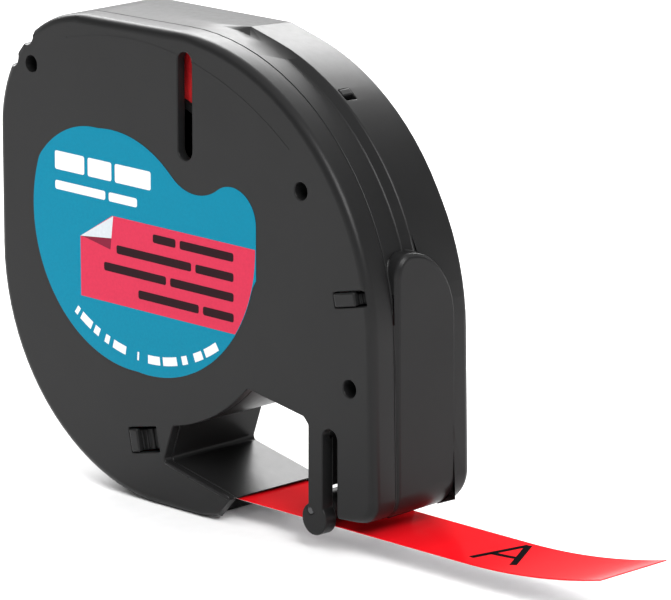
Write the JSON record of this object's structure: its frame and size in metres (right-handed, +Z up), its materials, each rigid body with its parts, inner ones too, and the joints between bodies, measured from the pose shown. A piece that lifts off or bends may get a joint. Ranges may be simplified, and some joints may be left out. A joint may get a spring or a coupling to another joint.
{
  "type": "label tape cassette",
  "caption": "Two-part moulded cassette round a spool of adhesive label tape, which leaves under a slanted sill and a small guide roller.",
  "frame": {"origin": "on the spool's axis, in the plane of the rear face", "axes": "+X along the run of the tape towards its free end, +Y from the front face to the rear face, +Z up as the cassette stands on its lip"},
  "size_m": [0.1077, 0.0165, 0.0643],
  "materials": {
    "casing": "satin moulded plastic with a fine spark texture",
    "core": "moulded plastic",
    "tape_film": "glossy coated film",
    "tape_backing": "smooth release paper",
    "roller": "dull moulded plastic",
    "pin": "drawn wire",
    "label": "printed satin sticker"
  },
  "bodies": {
    "root": {"front_shell": "casing", "rear_shell": "casing", "tape_lead_film": "tape_film", "tape_lead_liner": "tape_backing", "guide_pin": "pin", "front_label": "label"},
    "spool": {"tape_core": "core", "tape_roll": "tape_film"},
    "tape": {"tape_film": "tape_film", "tape_liner": "tape_backing"},
    "roller": {"guide_roller": "roller"}
  },
  "joints": [
    {"name": "spool_spin", "type": "hinge", "parent": "root", "child": "spool", "pos_m": [0, -0.0082, 0], "axis": [0, -1, 0], "range_deg": [0, 23.5]},
    {"name": "tape_feed", "type": "slide", "parent": "root", "child": "tape", "axis": [1, 0, 0], "range_m": [0, 0.0101]},
    {"name": "roller_spin", "type": "hinge", "parent": "root", "child": "roller", "pos_m": [0.0307, -0.0082, -0.032], "axis": [0, -1, 0], "range_deg": [0, 294.5]}
  ],
  "couplings": [
    {"joint": "tape_feed", "follows": "spool_spin", "m_per_rad": 0.0244},
    {"joint": "roller_spin", "follows": "spool_spin", "ratio": 12.513}
  ]
}
